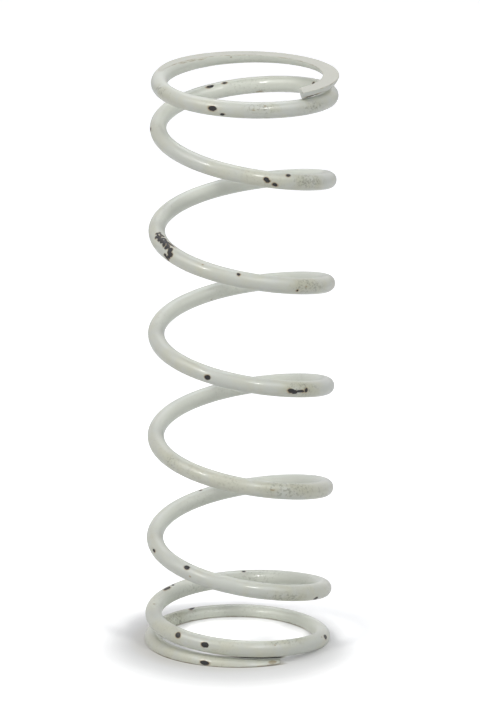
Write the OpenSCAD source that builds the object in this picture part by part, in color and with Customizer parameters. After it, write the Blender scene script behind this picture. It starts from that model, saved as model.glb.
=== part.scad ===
// Compression spring, wound left-hand from round wire, with both ends closed and ground flat.
// It stands on its lower ground face. The origin is on the floor, on the coil's axis, and +Z points up.

/* [Wire] */
// Diameter of the painted wire
wire_d = 2.25; // [1.6:0.05:3]

/* [Coil] */
// Outside diameter of the coil
outer_d = 25.4; // [20:0.1:36]
// Free length from one ground face to the other
free_length = 80; // [60:0.5:110]
// Turns of wire from tip to tip
total_turns = 7.97; // [7:0.01:10]
// Clock angle of the lower tip, counter-clockwise from +X as seen from above
lower_tip_angle = -60; // [-180:1:180]
// Sideways drift of the coil's axis at the two ends, to -X below and to +X above
axis_drift = 0.33; // [0:0.01:1]
// Bow of the axis: how much further to -Y its middle stands than its ends
axis_bow = 0.47; // [0:0.01:1.5]

/* [Ground ends] */
// Turns over which the ground wire grows from its tip to its full seat
tip_turns = 0.42; // [0.1:0.02:0.6]
// Wire left standing at the lower tip
lower_tip_t = 0.45; // [0.3:0.05:1.2]
// Wire left standing round the rest of the lower seat
lower_seat_t = 1.4; // [0.8:0.05:1.6]
// Wire left standing at the upper tip
upper_tip_t = 1.15; // [0.3:0.05:1.2]
// Wire left standing round the rest of the upper seat
upper_seat_t = 1.05; // [0.8:0.05:1.6]
// Angle by which the cut at each tip is turned from square
cut_skew = 30; // [-40:1:40]

/* [Lower end] */
// Turns from the tip that lie flat on the ground face
lower_flat_turns = 0.74; // [0.1:0.02:0.8]
// Turns over which the wire then crosses over its own tip
lower_crossing_turns = 0.24; // [0.2:0.02:0.8]
// Gap between the tip and the turn that crosses over it
lower_tip_gap = 0.35; // [0.05:0.05:0.6]
// Climb of the closed wire past the crossing, in a full turn
lower_closed_climb = 5.6; // [2:0.1:8]
// Turns from the tip to where the coil begins to open
lower_closed_turns = 1.6; // [0.9:0.02:1.8]
// Turns over which it opens to the full pitch
lower_opening_turns = 0.26; // [0.2:0.02:1.2]

/* [Upper end] */
// Turns from the tip that lie flat on the ground face
upper_flat_turns = 0.2; // [0.1:0.02:0.8]
// Turns over which the wire then crosses under its own tip
upper_crossing_turns = 0.54; // [0.2:0.02:0.8]
// Gap between the tip and the turn that crosses under it
upper_tip_gap = 0.05; // [0.05:0.05:0.6]
// Climb of the closed wire past the crossing, in a full turn
upper_closed_climb = 2.7; // [2:0.1:8]
// Turns from the tip to where the coil begins to open
upper_closed_turns = 0.88; // [0.8:0.02:1.8]
// Turns over which it opens to the full pitch
upper_opening_turns = 0.94; // [0.2:0.02:1.2]

/* [Smoothness] */
// Sides of the wire's section
wire_sides = 16; // [8:2:20]
// Sections in each turn
sections_per_turn = 40; // [24:2:48]

/* [Hidden] */

wire_r = wire_d / 2;
coil_r = (outer_d - wire_d) / 2;
half_turns = total_turns / 2;

// Places in an end's list of sizes
TIP = 0;
SEAT = 1;
FLAT = 2;
CROSSING = 3;
GAP = 4;
CLIMB = 5;
CLOSED = 6;
OPENING = 7;

// The two ends
LOWER = [
    lower_tip_t, lower_seat_t, lower_flat_turns, lower_crossing_turns,
    lower_tip_gap, lower_closed_climb, lower_closed_turns, lower_opening_turns
];
UPPER = [
    upper_tip_t, upper_seat_t, upper_flat_turns, upper_crossing_turns,
    upper_tip_gap, upper_closed_climb, upper_closed_turns, upper_opening_turns
];

// A smooth step from 0 to 1, and the area under it
function ease(u) = let (v = min(max(u, 0), 1)) v * v * (3 - 2 * v);
function ease_area(u) = let (v = min(max(u, 0), 1)) pow(v, 3) - pow(v, 4) / 2 + max(u - 1, 0);

// How far along the crossing the wire is, t turns from the tip
function crossed(t, end) = (t - end[FLAT]) / end[CROSSING];

// Climb that goes on from the start of the crossing, t turns from the tip
function crept(t, end) = end[CLIMB] * end[CROSSING] * ease_area(crossed(t, end));

// How much the tip is ground thinner than the seat
function thinned(end) = end[SEAT] - end[TIP];

// The crossing's own step, so that after one full turn the wire clears the tip by the gap
function crossing_step(end) =
    (wire_d + end[GAP] - thinned(end) - crept(1, end)) / ease(crossed(1, end));

// Height of the closed wire's centre over its ground face, t turns from the tip
function closed_z(t, end) =
    end[SEAT] - wire_r - thinned(end) * pow(1 - min(t / tip_turns, 1), 2)
    + crossing_step(end) * ease(crossed(t, end)) + crept(t, end);

// Turns' worth of full pitch reached t turns from the tip
function opened(t, end) = end[OPENING] * ease_area((t - end[CLOSED]) / end[OPENING]);

// The pitch follows from the free length and the turns that the two ends leave over
pitch = let (
        lower_open = opened(half_turns, LOWER),
        upper_open = opened(half_turns, UPPER),
        closed = closed_z(half_turns, LOWER) + closed_z(half_turns, UPPER),
        held_back = LOWER[CLIMB] * lower_open + UPPER[CLIMB] * upper_open
    )
    (free_length - closed + held_back) / (lower_open + upper_open);

// Height of the wire's centre over its ground face, t turns from the tip
function rise(t, end) = closed_z(t, end) + (pitch - end[CLIMB]) * opened(t, end);

// The wire's centre line at s turns from the lower tip: height, slope and clock angle
function height(s) =
    s < half_turns ? rise(s, LOWER) : free_length - rise(total_turns - s, UPPER);
// The slope is taken over this part of a turn on both sides
slope_step = 0.01;
function slope(s) =
    let (from = max(s - slope_step, 0), to = min(s + slope_step, total_turns))
    atan((height(to) - height(from)) / ((to - from) * 2 * PI * coil_r));
function clock(s) = lower_tip_angle - 360 * s;

// The drift grows with the cube of the height above or below the middle, and the bow with its square
function level(z) = 2 * z / free_length - 1;
function drift(z) = axis_drift * pow(level(z), 3);
function bow(z) = axis_bow * (pow(level(z), 2) - 1 / 2);

// Half the angle that the grinding takes off a section, seen from its centre. A section that
// the stone doesn't reach keeps one facet there.
facet = 180 / wire_sides;
function ground_angle(room, s) = max(facet, acos(min(room / (wire_r * cos(slope(s))), 1)));

// Angles of a section's corners: up its outer side, over the top and down its inner side
function corner_angles(below, above) =
    let (
        last = wire_sides / 2 - 1,
        step = (180 - below - above) / last,
        outer_side = [for (i = [0 : last]) below - 90 + i * step]
    )
    concat(outer_side, [for (i = [last : -1 : 0]) 180 - outer_side[i]]);

// Corners of the wire's section at s turns, square to the wire and flat where it is ground. The
// sections at the two tips are turned by the skew of the cut.
function section(s, skew) =
    let (z = height(s), tilt = slope(s))
    [
        for (a = corner_angles(ground_angle(z, s), ground_angle(free_length - z, s)))
            let (
                aside = wire_r * cos(a),
                out = coil_r + aside,
                turn = clock(s) - atan(aside * tan(skew) / coil_r),
                up = wire_r * sin(a),
                back = up * sin(tilt)
            )
            [
                out * cos(turn) - back * sin(turn) + drift(z),
                out * sin(turn) + back * cos(turn) + bow(z),
                z + up * cos(tilt)
            ]
    ];

last_section = ceil(total_turns * sections_per_turn);

// The coil is one skin of triangles around the sections, closed by the two cut tips
module coil() {
    corners = [
        for (k = [0 : last_section])
            each section(total_turns * k / last_section, k == 0 || k == last_section ? cut_skew : 0)
    ];
    sides = [
        for (k = [0 : last_section - 1], i = [0 : wire_sides - 1])
            let (
                j = (i + 1) % wire_sides,
                here = k * wire_sides,
                next = here + wire_sides
            )
            each [[here + i, next + i, next + j], [here + i, next + j, here + j]]
    ];
    lower_tip = [for (i = [0 : wire_sides - 1]) i];
    upper_tip = [for (i = [wire_sides - 1 : -1 : 0]) last_section * wire_sides + i];
    polyhedron(points = corners, faces = concat(sides, [lower_tip, upper_tip]), convexity = 10);
}

module spring() {
    color([0.83, 0.84, 0.79]) coil();
}

spring();
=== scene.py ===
# %% [markdown]
# A bleeder spring: a compression spring wound from one length of round wire, painted white all over.
# The imported CAD part is loaded first. It is the frame that everything here is built around, in metres,
# with the floor at zero and +Z up. Its box gives the free length of the spring.

# %% Load the part
import math
import random
import bpy
from mathutils import Matrix, Vector


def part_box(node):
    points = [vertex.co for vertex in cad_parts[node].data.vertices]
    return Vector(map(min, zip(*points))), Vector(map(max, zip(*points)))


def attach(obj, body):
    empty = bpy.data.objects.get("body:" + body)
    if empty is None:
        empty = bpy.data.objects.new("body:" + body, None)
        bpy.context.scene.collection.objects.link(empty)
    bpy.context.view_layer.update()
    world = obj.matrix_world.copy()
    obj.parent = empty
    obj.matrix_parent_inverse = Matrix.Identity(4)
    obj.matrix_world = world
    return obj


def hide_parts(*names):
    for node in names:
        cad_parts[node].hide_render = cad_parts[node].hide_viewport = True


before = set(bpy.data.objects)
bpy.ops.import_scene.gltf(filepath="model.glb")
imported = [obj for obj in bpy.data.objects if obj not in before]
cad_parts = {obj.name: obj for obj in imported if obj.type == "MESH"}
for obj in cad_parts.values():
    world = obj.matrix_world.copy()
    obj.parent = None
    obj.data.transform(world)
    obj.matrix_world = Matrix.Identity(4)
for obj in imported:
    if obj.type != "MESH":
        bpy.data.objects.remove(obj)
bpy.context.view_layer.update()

# %% [markdown]
# The sizes of the real spring, in millimetres, as a spring maker would write them on an order: the wire,
# the coil, the turns, and how the two ends are closed and ground. The free length is taken from the part.
# With these few numbers a spring is fully described, because the rule that winds it gives all the rest.

# %% The spring's sizes
MM = 0.001
low_corner, high_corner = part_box("spring")
free_length = high_corner.z - low_corner.z
wire_d = 2.25 * MM
outer_d = 25.4 * MM
total_turns = 7.97
lower_tip_angle = math.radians(-60)
# How far the axis drifts sideways at the two ends, and how much further to the front its middle stands
axis_drift = 0.33 * MM
axis_bow = 0.47 * MM
# The ground wire grows from its tip to its full seat over this part of a turn, and the cut at each tip is
# turned from square by this angle
tip_turns = 0.25
cut_skew = math.radians(30)
# Each end, from its tip on: the wire left standing at the tip and round the seat, the turns that lie flat,
# the turns in which the wire crosses its tip and the gap it leaves there, the climb of the closed wire after
# that, the turns to where it begins to open, and the turns over which it opens
lower_end = (0.45 * MM, 1.4 * MM, 0.74, 0.24, 0.35 * MM, 5.6 * MM, 1.6, 0.26)
upper_end = (1.15 * MM, 1.05 * MM, 0.2, 0.54, 0.05 * MM, 2.7 * MM, 0.88, 0.94)
# The paint rounds every edge that the grinding and the cut have left
edge_r = 0.08 * MM
print("free length", round(free_length / MM, 2), "mm")

# %% [markdown]
# The camera comes early, because the paint chips are later placed by looking through it. The picture is a
# product photograph taken with a long lens from a little above, so the turns hardly shrink towards the back.
# The lens and the distance were found by matching the spring's outline, and the camera leans a third of a
# degree, as the one in the photograph did.

# %% The camera
PICTURE = (480, 720)
SENSOR = 36.0
lens_px = 10206.0
camera_rise = math.radians(15.947)
camera_roll = math.radians(-0.307)
camera_distance = 1.3883
aim = Vector((-0.166 * MM, 0, 39.90 * MM))
# Nothing nearer or farther than this is drawn, in metres
NEAR, FAR = 0.01, 20

level = Vector((1, 0, 0))
toward = Vector((0, math.cos(camera_rise), -math.sin(camera_rise)))
above = level.cross(toward)
right = level * math.cos(camera_roll) - above * math.sin(camera_roll)
up = above * math.cos(camera_roll) + level * math.sin(camera_roll)
eye = aim - toward * camera_distance

camera = bpy.data.objects.new("camera", bpy.data.cameras.new("camera"))
camera.data.sensor_width = SENSOR
camera.data.lens = lens_px * SENSOR / PICTURE[1]
camera.data.clip_start = NEAR
camera.data.clip_end = FAR
camera.matrix_world = Matrix.Translation(eye) @ Matrix((right, up, -toward)).transposed().to_4x4()
bpy.context.scene.collection.objects.link(camera)
bpy.context.scene.camera = camera
print("lens", round(camera.data.lens, 1), "mm at", round(camera_distance, 3), "m")

# %% [markdown]
# Both the shape and the paint are made of node trees with a good deal of arithmetic in them. Placing each
# Math node by hand would hide the rule behind boxes and wires, so a small class does it: a Number stands for
# an output in a tree, and Python's own signs add the Math nodes. A formula can then be written as a formula.

# %% Numbers that write node maths
class Number:
    """A number that a node tree works out."""

    def __init__(self, tree, socket):
        self.tree = tree
        self.socket = socket

    def __add__(self, other):
        return join("ADD", self, other)

    def __radd__(self, other):
        return join("ADD", other, self)

    def __sub__(self, other):
        return join("SUBTRACT", self, other)

    def __rsub__(self, other):
        return join("SUBTRACT", other, self)

    def __mul__(self, other):
        return join("MULTIPLY", self, other)

    def __rmul__(self, other):
        return join("MULTIPLY", other, self)

    def __truediv__(self, other):
        return join("DIVIDE", self, other)

    def __pow__(self, other):
        return join("POWER", self, other)


def add_node(tree, kind, **settings):
    """Adds a node of that kind and sets its options."""
    made = tree.nodes.new(kind)
    for name, value in settings.items():
        setattr(made, name, value)
    return made


def plug(socket, value):
    """Feeds a socket from a Number or another socket, or sets its plain value."""
    if isinstance(value, Number):
        value.tree.links.new(value.socket, socket)
    elif isinstance(value, bpy.types.NodeSocket):
        value.id_data.links.new(value, socket)
    else:
        socket.default_value = value


def join(operation, *values):
    """One Math node over the values, of which at least one is a Number."""
    tree = next(value.tree for value in values if isinstance(value, Number))
    made = add_node(tree, "ShaderNodeMath", operation=operation)
    for socket, value in zip(made.inputs, values):
        plug(socket, value)
    return Number(tree, made.outputs[0])


def least(a, b):
    return join("MINIMUM", a, b)


def most(a, b):
    return join("MAXIMUM", a, b)


def clamped(a):
    """a, but no less than 0 and no more than 1."""
    return least(most(a, 0.0), 1.0)


def choose(test, yes, no):
    """yes where test is 1 and no where it is 0."""
    return no + test * (yes - no)


# %% [markdown]
# The main piece follows a rule, so Geometry Nodes make it. A spring could be a curve with a round profile,
# but a curve can't show ground ends: there the wire's section is a D, which grows thinner towards the tip.
# So the tree starts from a flat grid instead. One side of the grid runs along the wire and the other runs
# round its section, and a formula moves each point to its place.
#
# First the rule for the wire's centre line. Each end starts as a closed turn, which lies flat on its ground
# face. Before a full turn is over the wire climbs by one wire, so that it crosses over its own tip, and it
# creeps on. Then the coil opens smoothly to its pitch, and the pitch follows from the free length. The two
# halves are the same rule, taken from the lower tip and from the upper tip. The axis isn't quite straight: it
# drifts a little at the two ends and bows a little in the middle, as a spring that was coiled cold does.

# %% The rule of the winding
END_SIZES = ("tip left", "seat left", "flat turns", "crossing turns", "tip gap", "closed climb",
             "closed turns", "opening turns")


def ease(u):
    """A smooth step from 0 to 1."""
    part = clamped(u)
    return part * part * (3.0 - 2.0 * part)


def ease_area(u):
    """The area under that step."""
    part = clamped(u)
    return part ** 3.0 - part ** 4.0 / 2.0 + most(u - 1.0, 0.0)


# %% [markdown]
# One end by itself. The slope of the wire is worked out beside its height, because the section has to stand
# square to the wire.

# %% One end
class End:
    """One closed and ground end: the height of the wire over its ground face, t turns from the tip."""

    def __init__(self, size, which):
        (self.tip, self.seat, self.flat, self.crossing, self.gap, self.climb, self.closed,
         self.opening) = [size[f"{which} {name}"] for name in END_SIZES]
        self.wire = size["Wire diameter"]
        self.tip_turns = size["Tip turns"]
        thinned = self.seat - self.tip
        self.step = (self.wire + self.gap - thinned - self.crept(1.0)) / ease(self.crossed(1.0))

    def crossed(self, t):
        """How far along the crossing the wire is: 0 at its start and 1 at its end."""
        return (t - self.flat) / self.crossing

    def crept(self, t):
        """The slow climb that goes on from the start of the crossing."""
        return self.climb * self.crossing * ease_area(self.crossed(t))

    def opened(self, t):
        """Turns' worth of full pitch that t turns have in them."""
        return self.opening * ease_area((t - self.closed) / self.opening)

    def height(self, t):
        to_seat = 1.0 - least(t / self.tip_turns, 1.0)
        seat = self.seat - self.wire / 2.0 - (self.seat - self.tip) * to_seat * to_seat
        return seat + self.step * ease(self.crossed(t)) + self.crept(t)

    def rate(self, t, pitch):
        """How fast the wire climbs there, for one turn: each step of the height gives its own slope."""
        to_seat = 1.0 - least(t / self.tip_turns, 1.0)
        part = clamped(self.crossed(t))
        over = self.step * 6.0 * part * (1.0 - part) / self.crossing + self.climb * ease(part)
        thicker = (self.seat - self.tip) * 2.0 * to_seat / self.tip_turns
        return thicker + over + (pitch - self.climb) * ease((t - self.closed) / self.opening)


# %% [markdown]
# The two ends meet in the middle. The pitch is what makes them meet at the same height.

# %% The whole centre line
class Winding:
    """The centre line of a spring, as formulas on the tree's own inputs."""

    def __init__(self, size):
        self.wire_r = size["Wire diameter"] / 2.0
        self.coil_r = (size["Outside diameter"] - size["Wire diameter"]) / 2.0
        self.length, self.turns, self.start = size["Free length"], size["Turns"], size["Lower tip angle"]
        self.drift, self.bow = size["Axis drift"], size["Axis bow"]
        self.low, self.high = End(size, "Lower"), End(size, "Upper")
        self.half = self.turns / 2.0
        low_open, high_open = self.low.opened(self.half), self.high.opened(self.half)
        closed = self.low.height(self.half) + self.high.height(self.half)
        held_back = self.low.climb * low_open + self.high.climb * high_open
        self.pitch = (self.length - closed + held_back) / (low_open + high_open)

    def rise(self, t, end):
        return end.height(t) + (self.pitch - end.climb) * end.opened(t)

    def at(self, s):
        """Height, slope, clock angle and the axis's two offsets at s turns from the lower tip."""
        lower = join("LESS_THAN", s, self.half)
        rest = self.turns - s
        z = choose(lower, self.rise(s, self.low), self.length - self.rise(rest, self.high))
        rate = choose(lower, self.low.rate(s, self.pitch), self.high.rate(rest, self.pitch))
        slope = join("ARCTANGENT", rate / (self.coil_r * math.tau))
        level = z * 2.0 / self.length - 1.0
        drift = self.drift * level * level * level
        bow = self.bow * (level * level - 0.5)
        return z, slope, self.start - s * math.tau, drift, bow


# %% [markdown]
# Then the rule for the section. Away from the ends it is a circle. Where the grinding stone has cut it, it is
# a circle with a flat on it, and the paint has rounded the two edges of that flat. The points are shared out
# between flat, rounding and arc, so that a row of points always lies exactly on each edge. Where the wire
# isn't ground the flat's points fall together, and the tree merges them afterwards.

# %% The rule of the section
FLAT_STEPS = 3
ROUND_STEPS = 3
# Power by which a flat's points crowd towards its edge
CROWDING = 3.0


def rounded_cut(radius, room, edge):
    """Half a flat's width, the angle where its rounding meets the arc, and how far out the rounding sits."""
    drop = least(room, radius) - edge
    reach = radius - edge
    half_width = join("SQRT", most(reach * reach - drop * drop, 0.0))
    return half_width, join("ARCTAN2", drop, half_width), drop


def section_point(step, arc_steps, radius, below, above_it, edge):
    """Place on the outer half of the section, step by step from its lowest point to its highest."""
    low_half, low_angle, low_drop = rounded_cut(radius, below, edge)
    high_half, high_angle, high_drop = rounded_cut(radius, above_it, edge)
    arc_from = FLAT_STEPS + ROUND_STEPS
    arc_to = arc_steps + arc_from
    low_flat = clamped(step / FLAT_STEPS)
    low_round = clamped((step - FLAT_STEPS) / ROUND_STEPS)
    arc = clamped((step - arc_from) / arc_steps)
    high_round = clamped((step - arc_to) / ROUND_STEPS)
    high_flat = clamped((step - arc_to - ROUND_STEPS) / FLAT_STEPS)
    quarter = math.pi / 2
    angle = low_round * (quarter - low_angle) - quarter
    angle += arc * (high_angle + low_angle) + high_round * (quarter - high_angle)
    low = join("LESS_THAN", step, arc_from - 0.5)
    high = join("GREATER_THAN", step, arc_to + 0.5)
    low_x = low * low_half * (1.0 - (1.0 - low_flat) ** CROWDING)
    centre_x = low_x + high * high_half * (1.0 - high_flat ** CROWDING)
    centre_y = high * high_drop - low * low_drop
    bend = radius - (low + high) * (radius - edge)
    x = centre_x + bend * join("COSINE", angle)
    y = centre_y + bend * join("SINE", angle)
    middle = (high_drop - low_drop) / 2.0
    return x, y, middle


# %% [markdown]
# The tree puts the two rules together. Its inputs are named after the sizes, so the spring can be changed in
# the modifier panel. At each tip a few more rings round the cut end off, and a last ring closes it in one
# point.

# %% The tree's inputs and the place of each point
SIZES = {
    "Wire diameter": wire_d, "Outside diameter": outer_d, "Free length": free_length, "Turns": total_turns,
    "Lower tip angle": lower_tip_angle, "Axis drift": axis_drift, "Axis bow": axis_bow,
    "Tip turns": tip_turns, "Cut skew": cut_skew, "Edge rounding": edge_r,
    "Sections in a turn": 160.0, "Steps round half a section": 24.0,
}
for which, values in (("Lower", lower_end), ("Upper", upper_end)):
    for name, value in zip(END_SIZES, values):
        SIZES[f"{which} {name}"] = value
# The slant of the cut fades out over this part of a turn, so that the rings behind it stay apart
SKEW_TURNS = 0.03


def grid_counts(size):
    """Rings along the wire, with those that round and close its tips, and steps round half a section."""
    rings = join("CEIL", size["Turns"] * size["Sections in a turn"]) + (2.0 * ROUND_STEPS + 3.0)
    half_steps = size["Steps round half a section"] + 2.0 * (FLAT_STEPS + ROUND_STEPS)
    return rings, half_steps


def wire_place(size, ring, rings, step, half_steps):
    """Where the point at that ring and step lies on the finished spring."""
    quarter = math.pi / 2
    edge = size["Edge rounding"]
    winding = Winding(size)
    # How far the ring has come round the edge of the first and of the last cut, and how far along the wire
    first = clamped((ring - 1.0) / ROUND_STEPS) * quarter
    last = clamped((rings - 2.0 - ring) / ROUND_STEPS) * quarter
    body = clamped((ring - (1.0 + ROUND_STEPS)) / (rings - (3.0 + 2.0 * ROUND_STEPS)))
    # By how much the section is smaller there, and the turns from the lower tip to the ring
    inset = edge * (2.0 - join("SINE", first) - join("SINE", last))
    edge_turns = edge / (winding.coil_r * math.tau)
    s = edge_turns * (1.0 - join("COSINE", first) + join("COSINE", last))
    s += body * (size["Turns"] - 2.0 * edge_turns)
    z, slope, clock, drift, bow = winding.at(s)
    lean = join("COSINE", slope)
    # The steps go up the outer half of the section and down the inner half, which mirrors it
    outer_step = half_steps - join("ABSOLUTE", step - half_steps)
    side = 1.0 - 2.0 * join("GREATER_THAN", step, half_steps)
    x, y, middle = section_point(
        outer_step, size["Steps round half a section"], winding.wire_r - inset,
        z / lean - inset, (winding.length - z) / lean - inset, edge)
    tip = join("LESS_THAN", ring, 0.5) + join("GREATER_THAN", ring, rings - 1.5)
    aside = x * side * (1.0 - tip)
    out = winding.coil_r + aside
    near_tip = clamped(1.0 - s / SKEW_TURNS) + clamped(1.0 - (winding.turns - s) / SKEW_TURNS)
    clock -= join("ARCTANGENT", aside * join("TANGENT", size["Cut skew"]) / winding.coil_r) * near_tip
    rise = choose(tip, middle, y)
    back = rise * join("SINE", slope)
    cosine, sine = join("COSINE", clock), join("SINE", clock)
    place = add_node(ring.tree, "ShaderNodeCombineXYZ")
    plug(place.inputs["X"], out * cosine - back * sine + drift)
    plug(place.inputs["Y"], out * sine + back * cosine + bow)
    plug(place.inputs["Z"], z + rise * lean)
    return place.outputs[0]


print(len(SIZES), "inputs")

# %% [markdown]
# The wire also gets a map of its own, for anyone who wants to paint or bake it. An unwrap by Blender would
# have to guess where to cut. The grid knows it already: each turn becomes one straight strip, so nothing
# stretches, and the only cuts run along the wire and from turn to turn.

# %% The map of the wire
# Strips of the map, and the margin at each edge of a strip as a share of its width
STRIPS = 8
STRIP_MARGIN = 0.03
# The name under which an export looks for a piece's own map
BAKE_MAP = "OFBake"


def map_place(ring, rings, step, half_steps):
    """The same point's place on the flat map: one strip for each turn."""
    along = ring * float(STRIPS) / (rings - 1.0)
    face = add_node(ring.tree, "GeometryNodeFieldOnDomain", domain="FACE", data_type="FLOAT")
    plug(face.inputs[0], along)
    strip = join("FLOOR", Number(ring.tree, face.outputs[0]))
    across = STRIP_MARGIN + step * (1.0 - 2.0 * STRIP_MARGIN) / (2.0 * half_steps)
    place = add_node(ring.tree, "ShaderNodeCombineXYZ")
    plug(place.inputs["X"], along - strip)
    plug(place.inputs["Y"], (strip + across) / STRIPS)
    return place.outputs[0]


# %% [markdown]
# The nodes stand in one row: the flat grid, its map, its new shape, the merging of points that fell together,
# faces turned outwards, smooth shading and the paint. Instances are made real before the paint, as in every
# tree whose result is exported.

# %% The tree of the wound spring
# Points nearer to each other than this are one point
WELD = 0.001 * MM


def spring_tree():
    """The whole tree, from a flat grid to the painted wire."""
    tree = bpy.data.node_groups.new("wound_spring", "GeometryNodeTree")
    tree.is_modifier = True
    for name in SIZES:
        tree.interface.new_socket(name, in_out="INPUT", socket_type="NodeSocketFloat")
    tree.interface.new_socket("Paint", in_out="INPUT", socket_type="NodeSocketMaterial")
    tree.interface.new_socket("Spring", in_out="OUTPUT", socket_type="NodeSocketGeometry")
    inputs = add_node(tree, "NodeGroupInput")
    size = {name: Number(tree, inputs.outputs[name]) for name in SIZES}
    rings, half_steps = grid_counts(size)
    grid = add_node(tree, "GeometryNodeMeshGrid")
    plug(grid.inputs["Size X"], 1.0)
    plug(grid.inputs["Size Y"], 1.0)
    plug(grid.inputs["Vertices X"], rings)
    plug(grid.inputs["Vertices Y"], half_steps * 2.0 + 1.0)
    flat = add_node(tree, "ShaderNodeSeparateXYZ")
    plug(flat.inputs[0], add_node(tree, "GeometryNodeInputPosition").outputs[0])
    ring = join("ROUND", (Number(tree, flat.outputs["X"]) + 0.5) * (rings - 1.0))
    step = join("ROUND", (Number(tree, flat.outputs["Y"]) + 0.5) * half_steps * 2.0)
    mapped = add_node(tree, "GeometryNodeStoreNamedAttribute", data_type="FLOAT2", domain="CORNER")
    plug(mapped.inputs["Name"], BAKE_MAP)
    plug(mapped.inputs["Value"], map_place(ring, rings, step, half_steps))
    wound = add_node(tree, "GeometryNodeSetPosition")
    plug(wound.inputs["Position"], wire_place(size, ring, rings, step, half_steps))
    welded = add_node(tree, "GeometryNodeMergeByDistance")
    plug(welded.inputs["Distance"], WELD)
    outward = add_node(tree, "GeometryNodeFlipFaces")
    smooth = add_node(tree, "GeometryNodeSetShadeSmooth")
    real = add_node(tree, "GeometryNodeRealizeInstances")
    painted = add_node(tree, "GeometryNodeSetMaterial")
    plug(painted.inputs["Material"], inputs.outputs["Paint"])
    outcome = add_node(tree, "NodeGroupOutput")
    steps = [grid, mapped, wound, welded, outward, smooth, real, painted, outcome]
    for before, after in zip(steps, steps[1:]):
        tree.links.new(before.outputs[0], after.inputs[0])
    return tree


# %% [markdown]
# Now the tree is run once. The modifier's inputs are set by their identifiers before anything looks at the
# object, and the result becomes a plain mesh. The modifier is then taken off, so that what is rendered is
# the very mesh that is measured here.

# %% Wind the spring
def wind(tree, paint):
    """Runs the tree and gives the spring as a plain object at the origin."""
    spring = bpy.data.objects.new("painted_spring", bpy.data.meshes.new("painted_spring"))
    bpy.context.scene.collection.objects.link(spring)
    modifier = spring.modifiers.new("winding", "NODES")
    modifier.node_group = tree
    for item in tree.interface.items_tree:
        if item.in_out == "INPUT" and item.name in SIZES:
            modifier[item.identifier] = SIZES[item.name]
        elif item.in_out == "INPUT":
            modifier[item.identifier] = paint
    made = bpy.data.meshes.new_from_object(spring.evaluated_get(bpy.context.evaluated_depsgraph_get()))
    spring.modifiers.clear()
    spring.data = made
    return spring


paint = bpy.data.materials.new("white_paint_on_wire")
spring = wind(spring_tree(), paint)
mesh = spring.data
mesh.calc_loop_triangles()
corners = [vertex.co for vertex in mesh.vertices]
triangles = [[corners[index] for index in triangle.vertices] for triangle in mesh.loop_triangles]
volume = sum(a.dot(b.cross(c)) for a, b, c in triangles) / 6
print(len(corners), "points,", len(triangles), "triangles,", round(volume / MM ** 3, 1), "mm3")
print("from", [round(min(c[i] for c in corners) / MM, 3) for i in range(3)],
      "to", [round(max(c[i] for c in corners) / MM, 3) for i in range(3)])

# %% [markdown]
# Chips and stains. In the photograph the paint has flown off in spots, down to the dark steel. A spot is
# read off the picture as a pixel, and a ray through that pixel finds where it lies on the wire. So each spot
# sits on the wire from any side, and stays there if the camera or the spring changes a little. Its length
# runs along the wire, its width round it, and a last number turns it.

# %% From a pixel to the wire
# Where a ray just misses the wire, places round its pixel are tried: this far off, in so many directions
SEARCH_REACH = (0.0, 0.5, 1.0, 1.5, 2.0, 3.0)
SEARCH_DIRECTIONS = 12


def ray_hit(x, y):
    """The point, normal and face of the spring that the pixel shows."""
    ray = toward + (right * (x + 0.5 - PICTURE[0] / 2) - up * (y + 0.5 - PICTURE[1] / 2)) / lens_px
    hit, point, normal, face = spring.ray_cast(eye, ray.normalized())
    return (point, normal, face) if hit else None


def nearest_hit(x, y):
    """The same, but where the ray just misses the wire the places round it are tried."""
    for reach in SEARCH_REACH:
        for turn in range(SEARCH_DIRECTIONS):
            angle = math.tau * turn / SEARCH_DIRECTIONS
            found = ray_hit(x + reach * math.cos(angle), y + reach * math.sin(angle))
            if found:
                return found
    raise ValueError(f"no wire near pixel {x}, {y}")


def spot_frame(normal, face, twist):
    """Axes at a spot: along the wire, round it, and out of it, turned by the twist."""
    polygon = mesh.polygons[face]
    edges = [mesh.vertices[a].co - mesh.vertices[b].co for a, b in polygon.edge_keys]
    along = max(edges, key=lambda edge: edge.length)
    if along.x < 0:
        along = -along
    along = (along - normal * along.dot(normal)).normalized()
    along = Matrix.Rotation(math.radians(twist), 3, normal) @ along
    return Matrix((along, normal.cross(along), normal)).transposed().to_euler()


# %% [markdown]
# The spots themselves, from the top of the spring to the bottom. Most chips are single ovals. The large one
# on the third turn has a ragged outline that no oval gives, so it is many small ones that run together.

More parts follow.
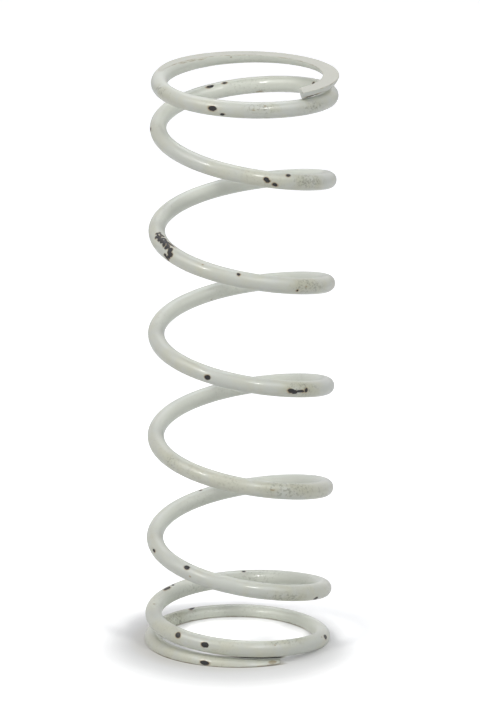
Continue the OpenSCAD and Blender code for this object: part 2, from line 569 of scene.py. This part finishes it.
# %% The spots in the picture
# Each spot: pixel across, pixel down, length and width in millimetres, and turn in degrees
CHIPS = (
    # the top ring, and the first turn seen through it
    (212, 108, 1.0, 0.62, 0), (222, 114, 0.5, 0.35, 0), (209.5, 86, 0.9, 0.4, 0),
    (224, 82.5, 0.45, 0.25, 0), (312.8, 82.6, 0.4, 0.3, 0), (150, 129, 0.6, 0.3, 0),
    (307.5, 96.4, 0.4, 0.1, 0), (310.5, 95.5, 0.5, 0.13, 0), (314.5, 94.2, 0.6, 0.1, 0),
    # the second and third turns
    (265.8, 179, 0.6, 0.5, 0), (267.2, 180.6, 0.6, 0.4, 0), (274.6, 184.2, 0.6, 0.36, -20),
    (288, 174.8, 0.66, 0.38, 20), (238, 274, 0.35, 0.3, 0), (296.5, 290, 0.25, 0.2, 0),
    # the large chip on the left of the third turn
    (156.8, 233.2, 0.4, 0.4, 0), (159.3, 232.6, 0.4, 0.3, 0), (162.5, 235.5, 0.4, 0.3, 0),
    (155.6, 236.8, 0.4, 0.3, 0), (158.6, 236.4, 0.6, 0.6, 0), (159.5, 239, 0.8, 0.7, 0),
    (161.5, 241, 0.7, 0.6, 0), (165, 240.6, 0.6, 0.4, 0), (167, 242.3, 0.5, 0.45, 0),
    (170.5, 244, 1.1, 0.2, 0), (163.5, 244.2, 0.7, 0.36, -30), (167, 246.5, 0.7, 0.5, 0),
    (165.4, 247.6, 0.4, 0.3, 0), (169.8, 249.3, 0.7, 0.6, 0), (168.8, 252, 0.6, 0.5, 0),
    (170, 254, 0.7, 0.55, 0), (168.2, 256.3, 0.5, 0.4, 0), (164.8, 254.6, 0.45, 0.35, 0),
    (166.4, 257, 0.5, 0.35, 0), (167.5, 259, 0.3, 0.25, 0), (157.2, 234.9, 0.4, 0.25, 0),
    (160.8, 234.4, 0.4, 0.25, 0), (162, 238, 0.5, 0.4, 0), (164.6, 238.6, 0.6, 0.3, 0),
    (163.6, 242.4, 0.45, 0.35, 0), (167.4, 244.4, 0.5, 0.3, 0),
    # the fourth to the sixth turns
    (207, 377, 0.75, 0.6, 0), (291, 390.6, 1.0, 0.55, 0), (294, 391.6, 0.9, 0.5, 0),
    (300, 390.8, 1.0, 0.28, 0), (305.6, 389.7, 0.5, 0.5, 0), (200, 490, 0.25, 0.2, 0),
    # the seventh turn and the closed turns at the bottom
    (153.5, 550, 0.6, 0.3, 0), (186.5, 567, 0.75, 0.55, 0), (172.5, 584.5, 0.4, 0.3, 0),
    (166.5, 588, 1.4, 0.5, 0), (243.5, 571, 0.4, 0.25, 0), (315.3, 598, 0.8, 0.5, 0),
    (191.5, 608, 0.9, 0.45, 20), (177.5, 634.5, 0.75, 0.65, 0), (204.5, 644.5, 1.0, 0.7, 0),
    (204, 662.5, 1.1, 0.5, 0), (325, 636.5, 1.0, 0.6, 0),
)
# Paint that is only worn thin or stained, brown instead of black
STAINS = (
    (259, 91, 1.1, 0.35, 0), (309.5, 95.8, 1.6, 0.4, 0), (317.5, 93.2, 1.4, 0.3, 0),
    (183, 62.3, 1.3, 0.14, 0), (192, 60.2, 1.3, 0.14, 0), (201, 58.8, 1.2, 0.13, 0),
    (230.5, 56.6, 0.3, 0.2, 0), (265, 105.5, 0.4, 0.25, 0), (253, 110, 0.4, 0.2, 0),
    (202, 264.5, 0.35, 0.25, 0), (306, 286, 0.4, 0.3, 0), (211, 299, 0.35, 0.2, 0),
    (272, 661.5, 1.3, 0.6, 0), (189.5, 576, 0.35, 0.25, 0), (153.5, 603.5, 0.4, 0.35, 0),
    (272, 489.5, 0.7, 0.3, 0), (274.5, 644.5, 0.3, 0.25, 0), (321, 636.5, 0.3, 0.2, 0),
)
# Wider patches where fine dirt sits in the paint
DIRTY = (
    (290, 488, 11.0, 2.6, 0), (310, 180, 7.0, 2.4, 0), (309, 285, 7.0, 2.4, 0), (285, 598, 8.0, 2.0, 0),
    (171, 461, 2.6, 2.0, 0), (262, 107, 5.0, 1.8, 0), (285, 640, 7.0, 1.8, 0), (302, 388, 7.0, 2.2, 0),
    (313, 107, 5.0, 1.6, 0), (160, 90, 4.0, 1.6, 0),
)
print(len(CHIPS), "chips,", len(STAINS), "stains and", len(DIRTY), "dirty patches in the picture")

# %% [markdown]
# The photograph shows one side only. The other side has met the same knocks, so it gets chips of the same
# sizes, about as many for its area. Their places come from a fixed seed. Only faces that are turned well away
# from the camera are drawn for it, so nothing is added to the side that the picture shows.

# %% The spots that the picture doesn't show
SEED = 7
# How many there are, and the shortest and the longest of them in millimetres
HIDDEN_CHIPS, CHIP_LENGTHS = 34, (0.2, 1.3)
HIDDEN_STAINS, STAIN_LENGTHS = 12, (0.4, 1.8)
HIDDEN_PATCHES, PATCH_LENGTHS = 6, (3.0, 8.0)
# Width as a share of the length, turn in degrees, and the power that makes most of them short
SLIMMEST, WIDEST = 0.45, 0.85
MOST_TWIST = 30
SHORTNESS = 3
# A face counts as turned away if its normal leans this much away from the camera. Slivers are left out.
TURNED_AWAY = 0.4
SMALLEST_FACE = 0.02 * MM * MM


def hidden_spots(count, lengths, draw):
    """Spots on faces that are turned away from the camera, each as point, normal, face and sizes."""
    away = [face for face in mesh.polygons
            if face.normal.dot(toward) > TURNED_AWAY and face.area > SMALLEST_FACE]
    chosen = []
    while len(chosen) < count:
        face = draw.choice(away)
        long = lengths[0] + (lengths[1] - lengths[0]) * draw.random() ** SHORTNESS
        wide = long * draw.uniform(SLIMMEST, WIDEST)
        twist = draw.uniform(-MOST_TWIST, MOST_TWIST)
        chosen.append((face.center.copy(), face.normal.copy(), face.index, long, wide, twist))
    return chosen


def seen_spots(spots):
    """The spots read off the picture, in the same form."""
    return [(*nearest_hit(x, y), long, wide, twist) for x, y, long, wide, twist in spots]


draw = random.Random(SEED)
chips = seen_spots(CHIPS) + hidden_spots(HIDDEN_CHIPS, CHIP_LENGTHS, draw)
stains = seen_spots(STAINS) + hidden_spots(HIDDEN_STAINS, STAIN_LENGTHS, draw)
dirty = seen_spots(DIRTY) + hidden_spots(HIDDEN_PATCHES, PATCH_LENGTHS, draw)
print(len(chips), "chips,", len(stains), "stains and", len(dirty), "dirty patches in all")

# %% [markdown]
# The paint itself. It was most likely dipped or sprayed and stoved: a slightly uneven skin, less than a tenth
# of a millimetre thick, off-white with a little green and yellow in it, half glossy. All patterns hang on the
# object's own coordinates in metres, so they go through the wire like the grain through wood, and no seam
# shows.
#
# A spot is an ellipsoid with its centre on the surface. A round gradient texture, moved to the spot, turned
# to its axes and stretched to its sizes, falls evenly from 1 in the centre to 0 well outside the spot, so it
# tells how deep a point lies in the spot. The coordinates are first shaken by noise, which makes the outlines
# ragged. Of all spots the deepest counts.

# %% Tools for the paint
# How far a spot reaches into the wire at most, and how much deeper than wide a narrow one is, in millimetres.
# So a narrow spot doesn't show through on the other side of thin wire.
DEEP = 0.6
DEEPER = 0.1
# How many times its own size a spot's gradient spans
FADE = 6


def noise(tree, place, size_mm, layer, detail=2.0, roughness=0.5):
    """Noise with features of about that size. The layer picks one of many independent patterns."""
    made = add_node(tree, "ShaderNodeTexNoise", noise_dimensions="4D")
    plug(made.inputs["Vector"], place)
    made.inputs["W"].default_value = float(layer)
    made.inputs["Scale"].default_value = 1.0 / (size_mm * MM)
    made.inputs["Detail"].default_value = detail
    made.inputs["Roughness"].default_value = roughness
    return made


def level_of(made):
    return Number(made.id_data, made.outputs[0])


def between(value, low, high):
    """0 at low, 1 at high, and straight in between."""
    return clamped((value - low) / (high - low))


def shaken(tree, place, size_mm, reach_mm, layer):
    """The coordinates moved about by noise, up to about that reach."""
    moved = add_node(tree, "ShaderNodeVectorMath", operation="MULTIPLY_ADD")
    plug(moved.inputs[0], noise(tree, place, size_mm, layer).outputs["Color"])
    moved.inputs[1].default_value = [2 * reach_mm * MM] * 3
    shifted = add_node(tree, "ShaderNodeVectorMath", operation="SUBTRACT")
    plug(shifted.inputs[0], place)
    shifted.inputs[1].default_value = [reach_mm * MM] * 3
    plug(moved.inputs[2], shifted.outputs[0])
    return moved.outputs[0]


def deepest(tree, place, spots):
    """How deep a point lies in the nearest of the spots, in millimetres, and below zero outside them."""
    depth = None
    for point, normal, face, long, wide, twist in spots:
        ball = add_node(tree, "ShaderNodeTexGradient", gradient_type="SPHERICAL")
        plug(ball.inputs["Vector"], place)
        own = ball.texture_mapping
        own.vector_type = "TEXTURE"
        own.translation = point
        own.rotation = spot_frame(normal, face, twist)
        inward = max(min(DEEP, wide + DEEPER), wide / 2)
        own.scale = [FADE * half * MM for half in (long / 2, wide / 2, inward)]
        inside = (Number(tree, ball.outputs["Fac"]) - (1 - 1 / FADE)) * (FADE * wide / 2)
        depth = inside if depth is None else most(depth, inside)
    return depth


def blend(tree, part, first, second):
    """A colour that goes from the first to the second as part goes from 0 to 1."""
    made = add_node(tree, "ShaderNodeMix", data_type="RGBA")
    plug(made.inputs[0], part)
    for socket, colour in ((made.inputs[6], first), (made.inputs[7], second)):
        plug(socket, (*colour, 1.0) if isinstance(colour, tuple) else colour)
    return made.outputs[2]


# %% [markdown]
# The layers of the finish, from below: the paint with its slow changes of tint, a shade lighter on the inside
# of the coil, and a shade darker and yellower on the ground face at the top, which is painted shade that
# takes back some of the light falling on that face from above. Over it come yellowed patches with fine dirt
# in them, paint worn thin along the edges of the ground faces, brown stains, a rusty rim around each chip,
# and the bare steel in it. A mask says where each layer shows. Masks could be painted by hand, but a formula
# keeps them sharp at any size and lets every limit be changed later.

# %% Where each layer shows
# Patterns of noise: size of their features in millimetres, layer, detail and roughness
FINE = (0.34, 3, 3.0, 0.6)
SLOW = (7.0, 4, 2.0)
MIDDLE = (1.6, 5, 2.0)
# What makes the outlines of spots ragged: size and reach in millimetres, and layer
WIDE_SHAKE = (1.1, 0.14, 1)
FINE_SHAKE = (0.3, 0.06, 2)
# Depths in a spot, in millimetres, at which a layer begins and at which it is full. They are below zero
# outside the spot.
BARE = (-0.065, -0.03)
RIM = (-0.20, -0.07)
STAINED = (-0.05, 0.06)
GRUBBY = (-0.2, 0.5)
YELLOW = (-0.4, 0.4)
# Levels of the noise at which patches of the rusty rim, of the worn edge and of yellow, and specks of dirt,
# begin and are full
RIM_PATCHES = (0.40, 0.5)
EDGE_PATCHES = (0.66, 0.80)
YELLOW_PATCHES = (0.3, 0.6)
SPECKS = (0.54, 0.64)
# The worn edge is this near to the plane of a ground face, and its normal is this much upright
EDGE_FROM, EDGE_TO = 0.11 * MM, 0.05 * MM
EDGE_UPRIGHT = (0.995, 0.93)
# How much of the fine noise breaks the worn edge up, and how much a dirty patch adds to the noise of specks
EDGE_FINE = 0.4
PATCH_SPECKS = 0.04
# Outside the patches there are fewer specks, where the slow noise is at these levels
ELSEWHERE, ELSEWHERE_SHARE = (0.5, 0.7), 0.5


def ground_edge(height, upright):
    """1 on the rounded edges of the two ground faces, and 0 elsewhere."""
    near_face = most(between(height, free_length - EDGE_FROM, free_length - EDGE_TO),
                     between(height, EDGE_FROM, EDGE_TO))
    return near_face * between(join("ABSOLUTE", upright), *EDGE_UPRIGHT)


class Masks:
    """The patterns of the finish, and where each layer shows: 1 where it is full, 0 where there is none."""

    def __init__(self, tree, place):
        split = add_node(tree, "ShaderNodeSeparateXYZ")
        plug(split.inputs[0], place)
        facing = add_node(tree, "ShaderNodeSeparateXYZ")
        plug(facing.inputs[0], add_node(tree, "ShaderNodeNewGeometry").outputs["Normal"])
        ragged = shaken(tree, shaken(tree, place, *WIDE_SHAKE), *FINE_SHAKE)
        self.chip_depth = deepest(tree, ragged, chips)
        stain_depth = deepest(tree, ragged, stains)
        self.patch_depth = deepest(tree, place, dirty)
        self.fine = level_of(noise(tree, place, *FINE))
        self.slow = level_of(noise(tree, place, *SLOW))
        self.middle = level_of(noise(tree, place, *MIDDLE))
        self.bare = between(self.chip_depth, *BARE)
        self.rim = between(self.chip_depth, *RIM) * between(self.middle, *RIM_PATCHES)
        self.stained = between(stain_depth, *STAINED)
        grubby = between(self.patch_depth, *GRUBBY)
        specked = between(self.fine + grubby * PATCH_SPECKS, *SPECKS)
        self.speck = specked * most(grubby, between(self.slow, *ELSEWHERE) * ELSEWHERE_SHARE)
        self.height = Number(tree, split.outputs["Z"])
        edge = ground_edge(self.height, Number(tree, facing.outputs["Z"]))
        self.edge = edge * between(self.middle + self.fine * EDGE_FINE, *EDGE_PATCHES)
        x, y = Number(tree, split.outputs["X"]), Number(tree, split.outputs["Y"])
        self.outward = join("SQRT", x * x + y * y) - (outer_d - wire_d) / 2


# %% [markdown]
# The colours were matched to the photograph and are written as they look in plain white light. Each layer
# covers the ones below it by a share, so that the paint still shows through the thin ones.

# %% The colour
PAINT = (0.544, 0.561, 0.515)
PAINT_WARM = (0.545, 0.549, 0.460)
# The paint a shade lighter on the inside of the coil, on the half of the wire that faces the axis
PAINT_INSIDE = (0.635, 0.655, 0.585)
# Painted shade: the ground face at the top is darker and yellower, for the light that falls on it from above
PAINT_TOP_SHADED = (0.500, 0.500, 0.425)
# Each layer's colour, and the share by which it covers what is below it
YELLOWED, YELLOWED_COVER = (0.43, 0.43, 0.31), 0.45
DIRT, DIRT_COVER = (0.26, 0.26, 0.205), 0.7
WORN, EDGE_COVER, STAIN_COVER = (0.33, 0.27, 0.17), 0.7, 0.85
RUST, RUST_COVER = (0.30, 0.20, 0.09), 0.8
STEEL = (0.004, 0.004, 0.006)
STEEL_BROWN = (0.022, 0.018, 0.010)
# Levels of the noise between which the paint turns warm and the steel turns brown, and the share that the
# slow noise has in the first
WARM, SLOW_SHARE = (0.42, 0.58), 0.6
BROWN = (0.5, 0.62)
# The inside of the coil begins and ends this far from the middle of the wire
INSIDE = 0.7 * MM
# The painted shade on the upper ground face begins and is full this far below the top
FACE_FROM, FACE_TO = 0.1 * MM, 0.03 * MM


def finish_colour(tree, masks):
    """The colour, from the plain paint up to the bare steel."""
    tinted = masks.slow * SLOW_SHARE + masks.middle * (1 - SLOW_SHARE)
    colour = blend(tree, between(tinted, *WARM), PAINT, PAINT_WARM)
    colour = blend(tree, between(masks.outward, INSIDE, -INSIDE), colour, PAINT_INSIDE)
    # Painted shade on the upper ground face
    shaded_top = between(masks.height, free_length - FACE_FROM, free_length - FACE_TO)
    colour = blend(tree, shaded_top, colour, PAINT_TOP_SHADED)
    yellowed = between(masks.patch_depth, *YELLOW) * between(masks.middle, *YELLOW_PATCHES)
    colour = blend(tree, yellowed * YELLOWED_COVER, colour, YELLOWED)
    colour = blend(tree, masks.speck * DIRT_COVER, colour, DIRT)
    colour = blend(tree, masks.edge * EDGE_COVER, colour, WORN)
    colour = blend(tree, masks.stained * STAIN_COVER, colour, WORN)
    colour = blend(tree, masks.rim * RUST_COVER, colour, RUST)
    steel = blend(tree, between(masks.fine, *BROWN), STEEL, STEEL_BROWN)
    return blend(tree, masks.bare, colour, steel)


# %% [markdown]
# Roughness and height follow the same masks as the colour: the steel is dull and lies one paint skin deeper,
# stains and dirt are a little duller than the paint, and the paint is slightly uneven all over. A thin coat
# over the paint gives the sharp part of its shine. The height only bends the light, through a Bump node,
# because the real steps are too small to be seen in the outline.

# %% The height, the gloss and the whole finish
# The paint skin's thickness, how deep a stain lies, and the heights of the uneven paint, in millimetres
SKIN, STAIN_DEPTH = 0.06, 0.01
WAVY_HEIGHT, MIDDLE_HEIGHT, FINE_HEIGHT = 0.024, 0.04, 0.014
WAVY = (2.6, 6, 1.0)
# Depths in a chip, in millimetres, at which its dent begins and is full
DENT = (-0.06, 0.01)
# Roughness of clean paint, what its pattern adds, and what bare steel adds, with the shares that stains and
# specks have of it
ROUGHNESS, ROUGHNESS_UNEVEN, ROUGHNESS_BARE = 0.29, 0.08, 0.35
STAIN_DULL, SPECK_DULL = 0.5, 0.3
COAT, COAT_ROUGHNESS = 0.35, 0.10
SPECULAR = 0.4


def finish_height(tree, place, masks):
    """Height of the surface in millimetres."""
    wavy = level_of(noise(tree, place, *WAVY))
    height = wavy * WAVY_HEIGHT + masks.middle * MIDDLE_HEIGHT + masks.fine * FINE_HEIGHT
    return height - between(masks.chip_depth, *DENT) * SKIN - masks.stained * STAIN_DEPTH


def finish_roughness(masks):
    """Duller where the paint is stained, dirty or gone."""
    dull = masks.bare + masks.stained * STAIN_DULL + masks.speck * SPECK_DULL
    return ROUGHNESS + masks.middle * ROUGHNESS_UNEVEN + dull * ROUGHNESS_BARE


def paint_the_wire(tree):
    """Builds the whole finish in the material's tree."""
    tree.nodes.clear()
    place = add_node(tree, "ShaderNodeTexCoord").outputs["Object"]
    masks = Masks(tree, place)
    colour = finish_colour(tree, masks)
    height = finish_height(tree, place, masks)
    bump = add_node(tree, "ShaderNodeBump")
    bump.inputs["Strength"].default_value = 1.0
    bump.inputs["Distance"].default_value = MM
    plug(bump.inputs["Height"], height)
    finish = add_node(tree, "ShaderNodeBsdfPrincipled")
    plug(finish.inputs["Base Color"], colour)
    plug(finish.inputs["Roughness"], finish_roughness(masks))
    plug(finish.inputs["Normal"], bump.outputs[0])
    plug(finish.inputs["Coat Normal"], bump.outputs[0])
    finish.inputs["Coat Weight"].default_value = COAT
    finish.inputs["Coat Roughness"].default_value = COAT_ROUGHNESS
    finish.inputs["Specular IOR Level"].default_value = SPECULAR
    outcome = add_node(tree, "ShaderNodeOutputMaterial")
    plug(outcome.inputs["Surface"], finish.outputs[0])


paint.use_nodes = True
paint_the_wire(paint.node_tree)
print(len(paint.node_tree.nodes), "nodes in the paint")

# %% [markdown]
# The stage. The spring stands on a plain white floor that goes over into a white background. The floor is
# matt, and it catches the soft shadow of the spring. In the photograph that shadow is deeper close to the
# foot, most of all on the left, and the floor inside the foot is left white. A pattern in the floor's own
# colour and light, which only the camera sees, adds this: a painted shadow that grows darker towards the foot
# and reaches furthest to the front and to the left, and painted light that whitens the back of the floor
# inside the foot. It also paints a thin line of contact shadow where the wire touches the floor, and a short
# dark arc of shadow where the floor shows through the narrow gap over the lower tip.

# %% The shadow at the foot
# The foot's middle, and the circles a little inside and outside the wire
FOOT_MIDDLE = (-axis_drift, axis_bow / 2)
FOOT_INSIDE, FOOT_OUTSIDE = outer_d / 2 - wire_d - 0.1 * MM, outer_d / 2 + 0.1 * MM
# How far the shadow reaches in millimetres, less on the right and more at the front, and how deep it is
REACH, REACH_RIGHT, REACH_FRONT = 6.3, 2.1, 7.7
DEPTH, DEPTH_RIGHT, DEPTH_FRONT = 0.42, 0.05, 0.02
# The gap over the tip: how far it is seen to the left and to the right, from the wire and towards the middle,
# and how light the floor is in it, under the tip and beside it
GAP_LEFT, GAP_RIGHT = (-5.0 * MM, -0.5 * MM), (6.5 * MM, 5.5 * MM)
GAP_OUTER, GAP_INNER = (FOOT_INSIDE + 0.2 * MM, FOOT_INSIDE - 0.4 * MM), (6.3 * MM, 8.3 * MM)
GAP_DARK, GAP_GREY = 0.03, 0.6
# The line of touch: its outer and inner edge, where on the right the wire has already left the floor, and
# how far round and how much the line is weaker at the sides
TOUCH_OUTER = (FOOT_OUTSIDE + 0.15 * MM, FOOT_OUTSIDE)
TOUCH_INNER = (FOOT_INSIDE - 0.3 * MM, FOOT_INSIDE + 0.1 * MM)
LIFTED_RIGHT, LIFTED_FRONT = (0.42, 0.55), (0.0, 0.15)
TOUCH_SIDES, TOUCH_WEAKER = (0.6, 0.9), 0.85


def soft_shadow(radius, to_right, to_front):
    """The floor's lightness round the foot."""
    reach = (REACH - to_right * REACH_RIGHT + to_front * REACH_FRONT) * MM
    depth = DEPTH - to_right * DEPTH_RIGHT + to_front * DEPTH_FRONT
    return 1.0 - depth * (1.0 - ease((radius - FOOT_OUTSIDE) / reach))


def gap_over_tip(x, radius, behind):
    """Where the floor is seen through the gap, and its lightness there."""
    under_tip = between(x, *GAP_LEFT) * between(x, *GAP_RIGHT)
    in_the_gap = between(radius, *GAP_OUTER) * (1.0 - behind) * between(radius, *GAP_INNER)
    return in_the_gap, choose(under_tip, GAP_DARK, GAP_GREY)


def line_of_touch(radius, to_right, to_front):
    """1 on the line where the wire touches the floor, where a contact shadow is painted."""
    rests = 1.0 - between(to_right, *LIFTED_RIGHT) * between(to_front, *LIFTED_FRONT)
    touch = between(radius, *TOUCH_OUTER) * rests * between(radius, *TOUCH_INNER)
    return touch * (1.0 - between(to_right * to_right, *TOUCH_SIDES) * TOUCH_WEAKER)


print("the foot lies between radius", round(FOOT_INSIDE / MM, 2), "and", round(FOOT_OUTSIDE / MM, 2), "mm")

# %% [markdown]
# The floor is one square, so large that no edge of it shows. For the light that falls on the wire it is plain
# matt white, and the pattern is left out, because a floor that is dark for all light would also darken the
# underside of the wire. For the camera its colour is white times the pattern, and it gives off a little light
# of its own, so that the open floor is as white as the background.

# %% The floor
FLOOR_HALF = 3.0
FLOOR_WHITE = 0.9
WHITE, SHADOW_TINT = (1.0, 1.0, 1.0), (0.85, 0.78, 0.62)
# Lightness at which the shadow is warm throughout, and from which it isn't warm at all
TINTED = (0.3, 0.6)
# Depth of the line of touch, and the floor's own light, with what is added inside the foot at the back
TOUCH_DEPTH = 0.6
LIFT, LIFT_INSIDE = 0.30, 0.1
# The white inside the foot fades in over this width
INSIDE_FADE = 2.0 * MM
# The back part of the foot begins and is full at these places, counted from front to back. Further to the
# left than the turn they lie further back.
BACK, BACK_TURN = (-5.0 * MM, -2.0 * MM), 3.0 * MM


def paint_the_floor(tree):
    """White, with the shadow at the foot drawn a little deeper for the camera."""
    tree.nodes.clear()
    split = add_node(tree, "ShaderNodeSeparateXYZ")
    plug(split.inputs[0], add_node(tree, "ShaderNodeTexCoord").outputs["Object"])
    x, y = Number(tree, split.outputs["X"]), Number(tree, split.outputs["Y"])
    camera_ray = Number(tree, add_node(tree, "ShaderNodeLightPath").outputs["Is Camera Ray"])
    foot_x, foot_y = x - FOOT_MIDDLE[0], y - FOOT_MIDDLE[1]
    # At least 1 mm, so that nothing is divided by zero in the middle
    radius = most(join("SQRT", foot_x * foot_x + foot_y * foot_y), MM)
    to_right, to_front = foot_x / radius, most(foot_y / radius * -1.0, 0.0)
    shade = soft_shadow(radius, to_right, to_front)
    inside = between(radius, FOOT_INSIDE, FOOT_INSIDE - INSIDE_FADE)
    behind = between(y + least(x + BACK_TURN, 0.0), *BACK)
    in_the_gap, gap_shade = gap_over_tip(x, radius, behind)
    shade = choose(in_the_gap, gap_shade, choose(inside, 1.0, shade))
    shade = shade * (1.0 - line_of_touch(radius, to_right, to_front) * TOUCH_DEPTH)
    tone = blend(tree, between(shade, *TINTED), SHADOW_TINT, WHITE)
    seen = add_node(tree, "ShaderNodeVectorMath", operation="SCALE")
    plug(seen.inputs[0], tone)
    plug(seen.inputs["Scale"], shade)
    matt = add_node(tree, "ShaderNodeBsdfDiffuse")
    plug(matt.inputs["Color"], blend(tree, camera_ray, (FLOOR_WHITE,) * 3, seen.outputs[0]))
    lift = add_node(tree, "ShaderNodeEmission")
    plug(lift.inputs["Strength"], camera_ray * shade * (LIFT + inside * behind * LIFT_INSIDE))
    both = add_node(tree, "ShaderNodeAddShader")
    plug(both.inputs[0], matt.outputs[0])
    plug(both.inputs[1], lift.outputs[0])
    plug(add_node(tree, "ShaderNodeOutputMaterial").inputs["Surface"], both.outputs[0])


floor = bpy.data.objects.new("floor", bpy.data.meshes.new("floor"))
floor.data.from_pydata([(FLOOR_HALF * x, FLOOR_HALF * y, 0) for x, y in ((-1, -1), (1, -1), (1, 1), (-1, 1))],
                       [], [(0, 1, 2, 3)])
bpy.context.scene.collection.objects.link(floor)
white = bpy.data.materials.new("white_floor")
white.use_nodes = True
paint_the_floor(white.node_tree)
floor.data.materials.append(white)
print("floor", 2 * FLOOR_HALF, "m across")

# %% [markdown]
# The lamps. Seen directly, or mirrored in the paint, the room is plain white, which gives the wire its bright
# and almost neutral rims. Two small discs in front leave the streaks of light on the wire, and big discs high
# in front, at the sides and at the back do the rest. The one at the back is a little cooler. Together they
# light a surface at about full white, so a colour renders about as it is written.

# %% The light
# The share of full white by which the room itself lights the surfaces
WORLD_LIGHT = 0.05
LAMPS = {
    # azimuth and height in degrees, distance and size in metres, power in watts, colour
    "front_left": (228, 40, 1.2, 0.18, 3.7, (1.0, 0.99, 0.97)),
    "front_right": (305, 42, 1.2, 0.18, 3.3, (1.0, 0.99, 0.97)),
    "front_high": (270, 65, 1.1, 0.6, 1.0, (0.95, 0.97, 1.0)),
    "left": (200, 45, 1.2, 0.8, 3.8, (1.0, 0.99, 0.98)),
    "right": (340, 45, 1.2, 0.8, 3.3, (0.95, 0.98, 1.0)),
    "back": (90, 60, 1.2, 0.8, 3.5, (0.88, 0.90, 1.0)),
}
world = bpy.data.worlds.new("white_room")
bpy.context.scene.world = world
world.use_nodes = True
tree = world.node_tree
tree.nodes.clear()
ray = add_node(tree, "ShaderNodeLightPath")
camera_ray = Number(tree, ray.outputs["Is Camera Ray"])
glossy_ray = Number(tree, ray.outputs["Is Glossy Ray"])
room = add_node(tree, "ShaderNodeBackground")
room.inputs["Color"].default_value = (1, 1, 1, 1)
plug(room.inputs["Strength"], choose(most(camera_ray, glossy_ray), 1.0, WORLD_LIGHT))
plug(add_node(tree, "ShaderNodeOutputWorld").inputs["Surface"], room.outputs[0])

middle_point = Vector((0, 0, free_length / 2))
for name, (azimuth, height, distance, size, power, tint) in LAMPS.items():
    lamp = bpy.data.objects.new(name, bpy.data.lights.new(name, "AREA"))
    lamp.data.shape = "DISK"
    lamp.data.size = size
    lamp.data.energy = power
    lamp.data.color = tint
    flat, rise = math.radians(azimuth), math.radians(height)
    away = Vector((math.cos(flat) * math.cos(rise), math.sin(flat) * math.cos(rise), math.sin(rise)))
    lamp.location = middle_point + away * distance
    lamp.rotation_euler = (-away).to_track_quat("-Z", "Y").to_euler()
    bpy.context.scene.collection.objects.link(lamp)
bpy.context.scene.view_settings.view_transform = "Standard"
print(len(LAMPS), "lamps")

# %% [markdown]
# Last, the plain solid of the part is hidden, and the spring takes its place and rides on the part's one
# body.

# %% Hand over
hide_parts("spring")
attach(spring, "root")
